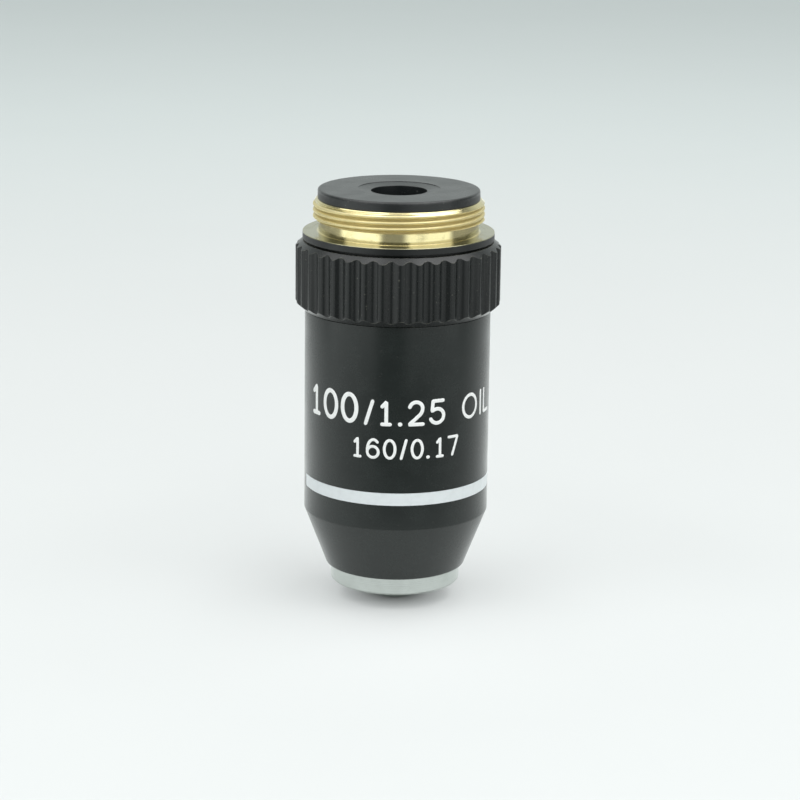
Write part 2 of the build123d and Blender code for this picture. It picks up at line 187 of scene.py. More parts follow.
class Nodes:
    # The nodes of a material or of the world, with one method that adds a node of any type.
    def __init__(self, owner):
        owner.use_nodes = True
        self.tree = owner.node_tree

    def feed(self, node, key, value):
        key = key.replace("_", " ") if isinstance(key, str) else key
        if isinstance(value, Wire):
            self.tree.links.new(value.socket, node.inputs[key])
        else:
            if isinstance(value, tuple) and len(value) == 3 and len(node.inputs[key].default_value) == 4:
                value = value + (1.0,)
            node.inputs[key].default_value = value

    def add(self, kind, settings=None, inputs=None):
        # A node of any type: its settings first, then the values or links of its sockets.
        node = self.tree.nodes.new(kind)
        for key, value in (settings or {}).items():
            setattr(node, key, value)
        for key, value in (inputs or {}).items():
            self.feed(node, key, value)
        return node

    def node(self, kind, settings=None, inputs=None, output=0):
        return Wire(self, self.add(kind, settings, inputs).outputs[output])

    def calculate(self, operation, *values):
        return self.node("ShaderNodeMath", {"operation": operation}, dict(enumerate(values)))

    def place(self):
        # Coordinates of the piece in millimetres.
        where = self.node("ShaderNodeTexCoord", output="Object")
        inputs = {0: where, "Scale": 1 / millimetre}
        return self.node("ShaderNodeVectorMath", {"operation": "SCALE"}, inputs)

    def parts(self, vector):
        split = self.add("ShaderNodeSeparateXYZ", None, {0: vector})
        return [Wire(self, socket) for socket in split.outputs]

    def rays(self, kind):
        return self.node("ShaderNodeLightPath", output=kind)

    def mixColour(self, factor, first, second, blend="MIX"):
        settings = {"data_type": "RGBA", "blend_type": blend}
        return self.node("ShaderNodeMix", settings, {0: factor, 6: first, 7: second}, output=2)

    def ramp(self, value, low, high, first=0.0, second=1.0):
        settings = {"interpolation_type": "SMOOTHSTEP"}
        return self.node("ShaderNodeMapRange", settings, {0: value, 1: low, 2: high, 3: first, 4: second})

    def noise(self, vector, scale, detail=3.0, roughness=0.55):
        inputs = {"Vector": vector, "Scale": scale, "Detail": detail, "Roughness": roughness}
        return self.node("ShaderNodeTexNoise", None, inputs)

    def rings(self, radius, height, perMillimetre, detail=4.0):
        # Marks of the turning tool: noise along radius plus height, which follows any turned face.
        inputs = {"W": (radius + height) * perMillimetre, "Scale": 1.0, "Detail": detail, "Roughness": 0.6}
        return self.node("ShaderNodeTexNoise", {"noise_dimensions": "1D"}, inputs)

    def bump(self, height, strength, depth):
        inputs = {"Height": height, "Strength": strength, "Distance": depth * millimetre}
        return self.node("ShaderNodeBump", None, inputs)


class Finish(Nodes):
    # A material with a Principled shader.
    def __init__(self, name, **values):
        self.material = bpy.data.materials.new(name)
        super().__init__(self.material)
        self.shader = self.tree.nodes["Principled BSDF"]
        self.set(**values)

    def set(self, **values):
        for socketName, value in values.items():
            self.feed(self.shader, socketName, value)


def window(value, low, high, blur, nodes):
    # 1 between low and high, 0 outside, with a soft step at both.
    return nodes.ramp(value, low - blur, low + blur) * nodes.ramp(value, high - blur, high + blur, 1.0, 0.0)


def radiusOf(x, y):
    return (x * x + y * y).math("SQRT")


def dress(piece, material, body, replaces=()):
    piece.data.materials.append(material)
    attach(piece, body)
    if replaces:
        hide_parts(*replaces)
    return piece


# Finishes

def blackFinish(name, look):
    # Black anodised metal: faint turning rings, a fine bead, small specks and worn edges.
    finish = Finish(name, Metallic=0.0, Specular_IOR_Level=look["shine"])
    vector = finish.place()
    x, y, z = finish.parts(vector)
    rings = finish.rings(radiusOf(x, y), z, look["ringsPerMillimetre"])
    bead = finish.noise(vector, scale=14.0, detail=2.0)
    cloud = finish.noise(vector, scale=0.35, detail=3.0)
    specks = finish.ramp(finish.noise(vector, scale=4.2, detail=1.0), 0.72, 0.78)
    edge = finish.node("ShaderNodeAttribute", {"attribute_name": "edge"}, output="Fac")
    patchy = finish.ramp(finish.noise(vector, scale=1.7, detail=4.0), 0.38, 0.66)
    lighter = tuple(channel * 1.25 + 0.001 for channel in look["colour"])
    body = finish.mixColour(finish.ramp(cloud * 0.6 + rings * 0.4, 0.35, 0.65), look["colour"], lighter)
    body = finish.mixColour(specks * 0.6, body, look["wornColour"])
    body = finish.mixColour(edge * patchy * look["wear"], body, look["wornColour"])
    low = look["roughness"] - 0.04
    high = look["roughness"] + 0.05
    finish.set(Base_Color=body,
               Roughness=finish.ramp(bead * 0.4 + cloud * 0.6, 0.3, 0.7, low, high),
               Normal=finish.bump(rings * 0.7 + bead * 0.3, look["ringStrength"], depth=0.012))
    return finish.material


def brassFinish(name, look, mount=None):
    # Turned brass under thin lacquer, with faint stains. On the mounting ring the thread is rougher
    # and has painted shade at its root, the top of the flange is duller and its rim is black.
    finish = Finish(name)
    vector = finish.place()
    x, y, z = finish.parts(vector)
    radius = radiusOf(x, y)
    rings = finish.rings(radius, z, perMillimetre=7.0)
    stains = finish.ramp(finish.noise(vector, scale=0.45, detail=5.0, roughness=0.65), 0.42, 0.68)
    specks = finish.ramp(finish.noise(vector, scale=2.6, detail=2.0), 0.72, 0.80)
    metal = finish.mixColour(stains * 0.55 + rings * 0.15, look["colour"], look["dullColour"])
    metal = finish.mixColour(specks * 0.5, metal, look["speckColour"])
    rough = finish.ramp(stains, 0.0, 1.0, look["roughness"], look["roughness"] + 0.09)
    metallic = 1.0
    if mount:
        above = z - mount["shoulderHeight"]
        root = mount["crestRadius"] - mount["threadDepth"]
        relief = mount["reliefRadius"]
        threadFrom = mount["reliefHeight"] + 0.05
        inThread = window(above, threadFrom, mount["endHeight"] - mount["lead"], 0.04, finish)
        # painted shade: the thread is darkened towards its root, where shade falls between the crests
        shadedRoot = finish.ramp(radius, root, mount["crestRadius"] - 0.12, 1.0, 0.0) * inThread
        metal = finish.mixColour(shadedRoot * 0.75, metal, look["rootColour"])
        onFlange = finish.ramp(radius, relief + 0.1, relief + 0.3) * finish.ramp(above, 0.2, 0.4, 1.0, 0.0)
        metal = finish.mixColour(onFlange * 0.9, metal, look["flangeColour"])
        ragged = finish.noise(vector, scale=3.0, detail=4.0)
        outside = finish.ramp(radius + ragged * 0.05 - 0.025, look["rimRadius"], look["rimRadius"] + 0.03)
        rim = outside * finish.ramp(above + ragged * 0.08 - 0.04, -0.10, -0.04, 1.0, 0.0)
        metal = finish.mixColour(rim, metal, look["rimColour"])
        rough = rough + inThread * (look["threadRoughness"] - look["roughness"]) + rim * 0.2
        metallic = 1.0 - rim
    finish.set(Base_Color=metal, Metallic=metallic, Roughness=rough,
               Normal=finish.bump(rings, strength=0.10, depth=0.01))
    return finish.material


# Mounting ring, with its real thread

mount = {
    "shoulderHeight": 44.70,
    "crestRadius": 10.1,
    "threadDepth": 0.34,
    "threadPitch": 25.4 / 36,
    "threadPhase": 1.24,     # height of a crest above the shoulder at the front
    "reliefHeight": 1.35,
    "reliefRadius": 9.44,
    "endHeight": 3.84,
    "lead": 0.4,
    "boreRadius": 8.0,
    "neckRadius": 9.55,
    "flangeRadius": 11.31,
    "flangeThickness": 0.85,
    "undercutRadius": 10.25,
    "undercutDepth": 0.012,  # 0.05 in the solid, which makes the flange's top look like two rings
    "neckLength": 6.0,
    "softness": 0.05,
    "flangeSoftness": 0.09,
    "undercutSoftness": 0.01,
    "rootPower": 1.5,        # more than 1 makes the crests broad and the roots narrow
    "footSlope": 5.0,
    "threadRows": 190,
    "columns": 360,
}
brassLook = {
    "colour": (0.78, 0.69, 0.38),
    "dullColour": (0.64, 0.56, 0.30),
    "speckColour": (0.30, 0.22, 0.10),
    "roughness": 0.13,
    "threadRoughness": 0.50,
    # painted shade in the thread's root
    "rootColour": (0.56, 0.46, 0.22),
    "flangeColour": (0.40, 0.39, 0.26),
    "rimRadius": 11.2,
    "rimColour": (0.0035, 0.005, 0.005),
}
frontAngle = -math.pi / 2
backAngle = math.pi / 2


def buildMountRing(mount):
    angles = evenAngles(mount["columns"])
    shoulder = mount["shoulderHeight"]
    flangeBottom = shoulder - mount["flangeThickness"]
    threadBottom = shoulder + mount["reliefHeight"]
    threadTop = shoulder + mount["endHeight"]
    floor = shoulder - mount["undercutDepth"]
    lower = [
        (mount["boreRadius"], flangeBottom - mount["neckLength"]),
        (mount["neckRadius"], flangeBottom - mount["neckLength"]),
        (mount["neckRadius"], flangeBottom),
        (mount["flangeRadius"], flangeBottom),
        (mount["flangeRadius"], shoulder),
        (mount["undercutRadius"], shoulder),
        (mount["undercutRadius"], floor),
        (mount["reliefRadius"], floor),
        (mount["reliefRadius"], threadBottom),
        (mount["crestRadius"], threadBottom),
        (mount["crestRadius"], threadTop),
        (mount["boreRadius"], threadTop),
    ]
    softness = np.full(len(lower), mount["softness"])
    softness[3:5] = mount["flangeSoftness"]
    softness[5:7] = mount["undercutSoftness"]
    rows = softCorners(lower, softness)[0]
    perCorner = len(rows) // len(lower)
    # The thread is a height field on the cylinder. Its phase grows with height and falls with the
    # angle, one turn for one pitch, and the depth is ((1 - cos phase) / 2) to the rootPower.
    # A short bevel joins its lower end to the relief, and at the top the lead takes the crests off.
    heights = np.linspace(threadBottom, threadTop, mount["threadRows"])[:, None]
    turn = (heights - shoulder - mount["threadPhase"]) / mount["threadPitch"]
    turn = turn - (angles - frontAngle) / (2 * math.pi)
    cut = (0.5 - 0.5 * np.cos(2 * math.pi * turn)) ** mount["rootPower"]
    radius = mount["crestRadius"] - mount["threadDepth"] * cut
    radius = np.minimum(radius, mount["reliefRadius"] + (heights - threadBottom) * mount["footSlope"])
    radius = np.minimum(radius, mount["crestRadius"] - mount["lead"] + (threadTop - heights))
    thread = np.stack([radius, np.broadcast_to(heights, radius.shape)], axis=-1)
    # It takes the place of the two corners at the crest's radius, the tenth and eleventh.
    rows = np.broadcast_to(rows, (len(rows), len(angles), 2))
    allRows = np.concatenate([rows[:perCorner * 9 - 1], thread, rows[perCorner * 11:]])
    return turned("mount_ring_threaded", allRows, angles)


print("mounting ring")
machinedBrass = brassFinish("machinedBrass", brassLook, mount)
dress(buildMountRing(mount), machinedBrass, "housing", ["mount_ring"])


# Rear plate

plate = {
    "bottom": 48.54,
    "top": 49.70,
    "radius": 9.55,
    "edgeRound": 0.30,
    "spigotRadius": 7.95,
    "spigotLength": 2.0,
    "holeRadius": 3.3,
    "dishRadius": 4.85,
    "dishWall": 0.02,
    "dishStep": 0.06,
    "dishDepth": 0.26,
    "softness": 0.05,
}
plateLook = {
    "colour": (0.009, 0.011, 0.0115),
    "wornColour": (0.12, 0.12, 0.115),
    "roughness": 0.30,
    "wear": 0.15,
    "ringsPerMillimetre": 9.0,
    "ringStrength": 0.08,
    "shine": 0.5,
}


def buildRearPlate(plate):
    # A cap with a spigot in the ring. Its top dips by a small step to a dish that slopes to the hole.
    profile = [
        (plate["holeRadius"], plate["bottom"] - plate["spigotLength"]),
        (plate["spigotRadius"], plate["bottom"] - plate["spigotLength"]),
        (plate["spigotRadius"], plate["bottom"]),
        (plate["radius"], plate["bottom"]),
        (plate["radius"], plate["top"]),
        (plate["dishRadius"], plate["top"]),
        (plate["dishRadius"] - plate["dishWall"], plate["top"] - plate["dishStep"]),
        (plate["holeRadius"], plate["top"] - plate["dishDepth"]),
    ]
    softness = np.full(len(profile), plate["softness"])
    softness[4] = plate["edgeRound"]
    return turnedRing("rear_plate_turned", profile, softness)


print("rear plate")
dress(buildRearPlate(plate), blackFinish("blackPlate", plateLook), "housing", ["rear_plate"])


# Barrel with its cone, and the white band in its groove

barrel = {
    "radius": 11.0,
    "boreRadius": 9.6,
    "guideRadius": 7.79,
    "mouthRadius": 8.3,
    "mouthHeight": 4.17,
    "mouthBreak": 0.12,
    "mouthFlare": 0.05,
    "stopHeight": 9.67,
    "coneTop": 11.10,
    "collarBottom": 35.52,
    "jointGap": 0.10,
    "seatRadius": 10.7,
    "top": 43.85,
    "softness": 0.06,
    "columns": 360,
}
barrelLook = {
    "colour": (0.007, 0.0105, 0.0095),
    "wornColour": (0.05, 0.05, 0.048),
    "roughness": 0.25,
    "wear": 0.30,
    "ringsPerMillimetre": 4.0,
    "ringStrength": 0.035,
    "shine": 0.5,
}
band = {
    "bottom": 14.10,
    "top": 15.64,
    "depth": 0.12,
    "startAngle": math.radians(193),
    "arc": math.radians(340),
    "grooveWall": 0.01,
    "grooveSoftness": 0.004,
    "fillGap": 0.012,        # how far the paint's face lies below the barrel's
    "floorGap": 0.01,
    "sideGap": 0.02,
    "endGap": 0.002,         # an angle, like the start and the arc
    "softness": 0.02,
    "columns": 420,
}


def buildBarrel(barrel, band):
    # Cone, sleeve and bore in one profile. The radius of the groove's floor is the barrel's own where
    # the groove isn't cut, and close columns at its two ends keep them square.
    ends = (band["startAngle"], band["startAngle"] + band["arc"])
    angles = evenAngles(barrel["columns"], ends, band["startAngle"] + 0.5 * math.pi / barrel["columns"])
    inGroove = (angles > ends[0]) & (angles < ends[1])
    floor = np.where(inGroove, barrel["radius"] - band["depth"], barrel["radius"])
    profile = [
        (barrel["guideRadius"], barrel["mouthHeight"]),
        (barrel["mouthRadius"] - barrel["mouthBreak"], barrel["mouthHeight"]),
        (barrel["mouthRadius"] + barrel["mouthFlare"], barrel["mouthHeight"] + barrel["mouthBreak"]),
        (barrel["radius"], barrel["coneTop"]),
        (barrel["radius"], band["bottom"]),
        (floor, band["bottom"] + band["grooveWall"]),
        (floor, band["top"] - band["grooveWall"]),
        (barrel["radius"], band["top"]),
        (barrel["radius"], barrel["collarBottom"] - barrel["jointGap"]),
        (barrel["seatRadius"], barrel["collarBottom"] - barrel["jointGap"]),
        (barrel["seatRadius"], barrel["top"]),
        (barrel["boreRadius"], barrel["top"]),
        (barrel["boreRadius"], barrel["stopHeight"]),
        (barrel["guideRadius"], barrel["stopHeight"]),
    ]
    softness = np.full(len(profile), barrel["softness"])
    softness[4:8] = band["grooveSoftness"]
    rows, edge = softCorners(profile, softness)
    return turned("barrel_turned", rows, angles, edge)


def buildBand(barrel, band):
    # A closed strip of paint: a flat section carried along the groove, with its two ends capped.
    start = band["startAngle"] + band["endGap"]
    end = band["startAngle"] + band["arc"] - band["endGap"]
    angles = np.linspace(start, end, band["columns"])
    outer = barrel["radius"] - band["fillGap"]
    inner = barrel["radius"] - band["depth"] + band["floorGap"]
    low = band["bottom"] + band["sideGap"]
    high = band["top"] - band["sideGap"]
    profile = [(inner, low), (outer, low), (outer, high), (inner, high)]
    rows = softCorners(profile, np.full(4, band["softness"]), 3)[0]
    points = aroundAxis(rows[..., 0], angles, rows[..., 1])
    middle = np.broadcast_to(points.mean(axis=0, keepdims=True), points.shape)
    points = np.concatenate([middle[:, :1], points, middle[:, -1:]], axis=1)
    return gridMesh("colour_band_painted", points, closeAround=False)


paintLook = {
    "bandColour": (0.72, 0.77, 0.785),
    "figureColour": (0.87, 0.89, 0.88),
    "roughness": 0.42,
}


def paintFinish(name, colour, roughness):
    # White paint filled in by hand: slight pools of tone and a soft uneven skin.
    finish = Finish(name, Metallic=0.0)
    vector = finish.place()
    pools = finish.noise(vector, scale=1.1, detail=4.0)
    skin = finish.noise(vector, scale=6.0, detail=3.0)
    shade = tuple(channel * 0.93 for channel in colour)
    finish.set(Base_Color=finish.mixColour(finish.ramp(pools, 0.4, 0.8), colour, shade),
               Roughness=finish.ramp(skin, 0.3, 0.7, roughness - 0.06, roughness + 0.08),
               Normal=finish.bump(skin, strength=0.06, depth=0.02))
    return finish.material


print("barrel and band")
barrelFinish = blackFinish("blackBarrel", barrelLook)
dress(buildBarrel(barrel, band), barrelFinish, "housing", ["barrel"])
bandPaint = paintFinish("whiteBand", paintLook["bandColour"], paintLook["roughness"])
dress(buildBand(barrel, band), bandPaint, "housing", ["colour_band"])


# Scalloped collar

collar = {
    "radius": 12.12,
    "seatRadius": 10.75,
    "bottom": 35.52,
    "top": 43.60,
    "topBevelHeight": 0.68,
    "bottomBevelHeight": 0.8,
    "topEdge": 11.32,
    "bottomEdge": 11.2,
    "scallops": 36,
    "scallopRadius": 0.783,
    "scallopDepth": 0.402,
    "ridgeRadius": 0.740,
    "startAngle": math.radians(6.4),
    "softness": 0.035,
    "columnsPerScallop": 26,
}
collarLook = {
    "colour": (0.0035, 0.005, 0.005),
    "wornColour": (0.13, 0.13, 0.105),
    "roughness": 0.28,
    "wear": 0.80,
    "ringsPerMillimetre": 5.0,
    "ringStrength": 0.06,
    "shine": 0.43,
}


def arcAt(distance, radius, angle, side):
    # Where a line from the axis meets a circle of radius r about a point at distance d, at an angle
    # a from that point: d cos a, plus or minus sqrt(r^2 - d^2 sin^2 a) for its outer or inner side.
    inside = np.maximum(radius ** 2 - (distance * np.sin(angle)) ** 2, 0)
    return distance * np.cos(angle) + side * np.sqrt(inside)


def scallopOutline(collar, offset):
    # Radius of the collar at an angle from the middle of a groove, made of arcs that touch: the
    # inner side of the groove's circle, the outer side of the ridge's, then the collar's own radius.
    grooveAt = collar["radius"] + collar["scallopRadius"] - collar["scallopDepth"]
    ridgeAt = collar["radius"] - collar["ridgeRadius"]
    reach = collar["scallopRadius"] + collar["ridgeRadius"]
    ridgeAngle = math.acos((grooveAt ** 2 + ridgeAt ** 2 - reach ** 2) / (2 * grooveAt * ridgeAt))
    share = collar["scallopRadius"] / reach
    touchX = grooveAt + share * (ridgeAt * math.cos(ridgeAngle) - grooveAt)
    touchAngle = math.atan2(share * ridgeAt * math.sin(ridgeAngle), touchX)
    away = np.abs(offset)
    groove = arcAt(grooveAt, collar["scallopRadius"], away, -1)
    ridge = arcAt(ridgeAt, collar["ridgeRadius"], away - ridgeAngle, 1)
    return np.where(away < touchAngle, groove, np.where(away < ridgeAngle, ridge, collar["radius"]))


def buildCollar(collar):
    # The scalloped outline carried up the collar. Each bevel is a cone, so that it meets the
    # outline at a height that follows from the radius there.
    step = 2 * math.pi / collar["scallops"]
    local = np.arange(collar["columnsPerScallop"]) * step / collar["columnsPerScallop"]
    starts = collar["startAngle"] + np.arange(collar["scallops"])[:, None] * step
    angles = (starts + local).ravel()
    outer = np.tile(scallopOutline(collar, (local + step / 2) % step - step / 2), collar["scallops"])
    topSlope = collar["topBevelHeight"] / (collar["radius"] - collar["topEdge"])
    bottomSlope = collar["bottomBevelHeight"] / (collar["radius"] - collar["bottomEdge"])
    profile = [
        (collar["seatRadius"], collar["bottom"]),
        (collar["bottomEdge"], collar["bottom"]),
        (outer, collar["bottom"] + (outer - collar["bottomEdge"]) * bottomSlope),
        (outer, collar["top"] - (outer - collar["topEdge"]) * topSlope),
        (collar["topEdge"], collar["top"]),
        (collar["seatRadius"], collar["top"]),
    ]
    rows, edge = softCorners(profile, np.full(len(profile), collar["softness"]), 3)
    return turned("knurled_collar_cut", rows, angles, edge)


print("collar")
collarFinish = blackFinish("blackCollar", collarLook)
dress(buildCollar(collar), collarFinish, "housing", ["knurled_collar"])


# Nose: the bright end of the lens tube, and the front cell below it

nose = {
    "radius": 7.74,
    "boreRadius": 6.2,
    "mouthRadius": 5.0,
    "bottom": 2.07,
    "top": 30.0,
    "ledge": 4.95,
    "bevel": 0.22,
    "keyHalfWidth": 0.65,
    "keyDepth": 0.64,
    "keyBottom": 24.17,
    "keyWall": 0.02,
    "softness": 0.05,
    "keySoftness": 0.005,
    "columns": 360,
}
tip = {
    "radius": 2.2,
    "coneRadius": 6.0,
    "neckRadius": 4.95,
    "coneTop": 2.07,
    "neckTop": 5.0,
    "cavityRadius": 3.6,
    "cavityHeight": 1.752,
    "seatRadius": 1.35,
    "lipRadius": 0.998,
    "lipHeight": 0.1,
    "softness": 0.06,
}


def buildLensTube(nose):
    # The keyway is a flat-bottomed notch at the back, so the wall's radius drops there above its end.
    keyHalf = math.asin(nose["keyHalfWidth"] / nose["radius"])
    ends = (backAngle - keyHalf, backAngle + keyHalf)
    angles = evenAngles(nose["columns"], ends)
    inKey = (angles > ends[0]) & (angles < ends[1])
    wall = np.where(inKey, (nose["radius"] - nose["keyDepth"]) / np.cos(angles - backAngle), nose["radius"])
    profile = [
        (nose["mouthRadius"], nose["bottom"]),
        (nose["radius"] - nose["bevel"], nose["bottom"]),
        (nose["radius"], nose["bottom"] + nose["bevel"]),
        (nose["radius"], nose["keyBottom"]),
        (wall, nose["keyBottom"] + nose["keyWall"]),
        (wall, nose["top"]),
        (nose["boreRadius"], nose["top"]),
        (nose["boreRadius"], nose["ledge"]),
        (nose["mouthRadius"], nose["ledge"]),
    ]
    softness = np.full(len(profile), nose["softness"])
    softness[3:5] = nose["keySoftness"]
    rows, edge = softCorners(profile, softness)
    return turned("lens_tube_turned", rows, angles, edge)


def buildTip(tip):
    # A cone from the flat round the lens up to the neck in the tube, hollow above the lens's seat.
    profile = [
        (tip["lipRadius"], 0.0),
        (tip["radius"], 0.0),
        (tip["coneRadius"], tip["coneTop"]),
        (tip["neckRadius"], tip["coneTop"]),
        (tip["neckRadius"], tip["neckTop"]),
        (tip["cavityRadius"], tip["neckTop"]),
        (tip["cavityRadius"], tip["cavityHeight"]),
        (tip["seatRadius"], tip["cavityHeight"]),
        (tip["seatRadius"], tip["lipHeight"]),
        (tip["lipRadius"], tip["lipHeight"]),
    ]
    return turnedRing("front_cell_turned", profile, tip["softness"])


nickelLook = {
    "colour": (0.49, 0.518, 0.50),
    "dullColour": (0.43, 0.455, 0.437),
    "roughness": 0.20,
}


def nickelFinish(name, look):
    # Satin nickel plate over turned brass: fine rings, faint clouds.
    finish = Finish(name, Metallic=1.0)
    vector = finish.place()
    x, y, z = finish.parts(vector)
    rings = finish.rings(radiusOf(x, y), z, perMillimetre=11.0)
    cloud = finish.noise(vector, scale=0.6, detail=4.0)
    tone = finish.ramp(rings * 0.6 + cloud * 0.4, 0.38, 0.68)
    finish.set(Base_Color=finish.mixColour(tone, look["colour"], look["dullColour"]),
               Roughness=finish.ramp(cloud, 0.3, 0.7, look["roughness"] - 0.04, look["roughness"] + 0.06),
               Normal=finish.bump(rings, strength=0.04, depth=0.01))
    return finish.material


print("nose")
nickel = nickelFinish("satinNickel", nickelLook)
dress(buildLensTube(nose), nickel, "lens_unit", ["lens_tube"])
dress(buildTip(tip), nickel, "lens_unit", ["front_cell"])


# Spring, a round wire with closed and ground ends; in the objective it shortens as the nose slides in

spring = {
    "bottom": 11.67,
    "top": 25.97,
    "radius": 8.545,
    "wire": 0.68,
    "turns": 5,
    "deadTurns": 0.9,
    "deadPitch": 0.25,       # rise at the very ends, as a share of the rise between the dead turns
    "endTaper": 0.02,
    "travel": 1.8,
    "columns": 900,
    "sides": 14,
}
springLook = {
    "colour": (0.55, 0.55, 0.54),
    "roughness": 0.28,
}


def buildSpring(spring):
    # A circle carried along a helix. Its rise grows with the square of the way through the dead
    # turns at both ends and is even between them: height is the running sum of that rise over the
    # angle. A quarter of the wire is ground off both ends.
    total = spring["turns"] + spring["deadTurns"]
    turn = np.linspace(0, total, spring["columns"])
    opened = np.clip(np.minimum(turn, total - turn) / spring["deadTurns"], 0, 1)
    rise = spring["deadPitch"] + opened ** 2
    climb = np.concatenate([[0], np.cumsum((rise[1:] + rise[:-1]) / 2)])
    low = spring["bottom"] + spring["wire"] / 4
    high = spring["top"] - spring["wire"] / 4
    height = low + (high - low) * climb / climb[-1]
    around = np.linspace(0, 2 * math.pi, spring["sides"], endpoint=False)[:, None]
    taper = np.ones(spring["columns"])
    taper[[0, -1]] = spring["endTaper"]
    radius = spring["radius"] + spring["wire"] / 2 * np.cos(around) * taper
    z = np.clip(height + spring["wire"] / 2 * np.sin(around) * taper, spring["bottom"], spring["top"])
    return gridMesh("spring_coiled", aroundAxis(radius, turn * 2 * math.pi, z)[::-1], closeAround=False)


def steelFinish(name, look):
    # Drawn or ground steel with faint streaks.
    finish = Finish(name, Metallic=1.0)
    vector = finish.place()
    streaks = finish.noise(vector, scale=5.0, detail=4.0)
    darker = tuple(channel * 0.75 for channel in look["colour"])
    finish.set(Base_Color=finish.mixColour(finish.ramp(streaks, 0.35, 0.7), look["colour"], darker),
               Roughness=finish.ramp(streaks, 0.3, 0.7, look["roughness"] - 0.05, look["roughness"] + 0.08),
               Normal=finish.bump(streaks, strength=0.1, depth=0.01))
    return finish.material


print("spring")
springSteel = steelFinish("springSteel", springLook)
coil = dress(buildSpring(spring), springSteel, "housing", ["spring"])
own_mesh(coil)


# Marking: plain optical figures in white paint

marking = {
    "surface": 11.0,
    "proud": 0.012,          # how far the paint stands out of the barrel
    "shift": -0.06,          # moves all the figures along the surface
    "strokeStep": 0.06,
    "capSteps": 6,
    "layerLift": 0.15,       # how much higher a figure's second stroke lies, as a share of the first
    "sectionAcross": (-1.0, -0.8, 0.0, 0.8, 1.0),
    "sectionLift": (-0.5, 0.8, 1.0, 0.8, -0.5),
    # Rows of figures: base height and height, and for each figure its character, its left and right
    # edge along the barrel's surface from the front middle, and the width of its stroke.
    "rows": [
        (23.69, 3.75, [("1", -12.11, -10.34, 0.56), ("0", -9.74, -7.24, 0.56), ("0", -6.91, -4.47, 0.56)]),
        (23.69, 3.12, [("/", -3.81, -2.53, 0.46), ("1", -1.90, -0.47, 0.47), (".", 0.21, 0.76, 0.53),
                       ("2", 1.32, 3.39, 0.47), ("5", 3.90, 6.03, 0.47), ("O", 8.49, 11.40, 0.42),
                       ("I", 11.86, 12.62, 0.42), ("L", 13.02, 15.00, 0.42)]),
        (19.70, 2.50, [("1", -5.16, -4.05, 0.36), ("6", -3.53, -1.84, 0.36), ("0", -1.50, 0.12, 0.36),
                       ("/", 0.48, 1.40, 0.36), ("0", 1.74, 3.34, 0.36), (".", 3.62, 4.10, 0.44),
                       ("1", 4.78, 5.89, 0.36), ("7", 6.39, 8.00, 0.36)]),
    ],
}


def arc(x, y, radiusX, radiusY, start, end, count=20):
    # Points of an ellipse arc from one angle in degrees to another, anticlockwise where end > start.
    angle = np.radians(np.linspace(start, end, count))
    return np.stack([x + radiusX * np.cos(angle), y + radiusY * np.sin(angle)], axis=-1)


def path(*pieces):
    return np.concatenate([np.atleast_2d(np.asarray(piece, float)) for piece in pieces])


# Strokes of each figure in a box one unit wide and one unit high, along the middle of the stroke.
roundFigure = [arc(0.5, 0.5, 0.5, 0.5, 90, 450, 48)]
figureStrokes = {
    "0": roundFigure,
    "O": roundFigure,
    "1": [path((0.08, 0.80), (0.56, 1.0), (0.56, 0.0)), path((0.08, 0.0), (1.0, 0.0))],
    "2": [path(arc(0.5, 0.72, 0.48, 0.28, 165, 0), arc(0.30, 0.72, 0.68, 0.42, 0, -45, 8),
               (0.0, 0.0), (1.0, 0.0))],
    "5": [path((0.92, 1.0), (0.16, 1.0), (0.10, 0.56), arc(0.48, 0.32, 0.52, 0.32, 128, -155, 28))],
    "6": [arc(0.5, 0.31, 0.5, 0.31, 90, 450, 40), arc(0.56, 0.40, 0.56, 0.60, 52, 180, 24)],
    "7": [path((0.0, 1.0), (1.0, 1.0), (0.42, 0.0))],
    "/": [path((1.0, 1.0), (0.0, 0.0))],
    ".": [path((0.42, 0.0), (0.58, 0.0))],
    "I": [path((0.5, 1.0), (0.5, 0.0))],
    "L": [path((0.0, 1.0), (0.0, 0.0), (1.0, 0.0))],
}


def ribbon(points, width, lift):
    # A flat stroke with round ends: the line is walked at even steps, and each cross-section runs
    # from one side to the other, with half circles at both ends. The result is in (along, up, lift).
    leg = np.linalg.norm(np.diff(points, axis=0), axis=1)
    distance = np.concatenate([[0], np.cumsum(leg)])
    count = max(4, int(distance[-1] / marking["strokeStep"]))
    walk = np.linspace(0, distance[-1], count)
    line = np.stack([np.interp(walk, distance, points[:, k]) for k in (0, 1)], axis=-1)
    tangent = np.gradient(line, axis=0)
    tangent /= np.linalg.norm(tangent, axis=1, keepdims=True)
    capTurn = np.linspace(math.pi / 2, 0, marking["capSteps"], endpoint=False)
    capReach = width / 2 * np.sin(capTurn)[:, None]
    capHalf = width / 2 * np.cos(capTurn)
    endCap = (line[-1] + tangent[-1] * capReach)[::-1]
    line = np.concatenate([line[0] - tangent[0] * capReach, line, endCap])
    half = np.concatenate([capHalf, np.full(count, width / 2), capHalf[::-1]])
    tangent = np.pad(tangent, ((len(capTurn), len(capTurn)), (0, 0)), "edge")
    normal = np.stack([-tangent[:, 1], tangent[:, 0]], axis=-1)
    across = np.array(marking["sectionAcross"])[:, None, None]
    height = np.array(marking["sectionLift"])[:, None] * lift
    flat = line + across * half[:, None] * normal
    return np.concatenate([flat, np.broadcast_to(height, flat.shape[:2])[..., None]], axis=-1)


def buildFigure(figure, left, right, base, height, width):
    # The strokes of a figure, bent round the barrel: the angle is the way along it over its radius.
    size = np.array([right - left - width, height - width])
    corner = np.array([left + marking["shift"], base]) + width / 2
    grids = []
    for layer, stroke in enumerate(figureStrokes[figure]):
        lift = marking["proud"] * (1 + marking["layerLift"] * layer)
        surface = ribbon(corner + stroke * size, width, lift)
        angle = frontAngle + surface[..., 0] / marking["surface"]
        grids.append(aroundAxis(marking["surface"] + surface[..., 2], angle, surface[..., 1]))
    return grids


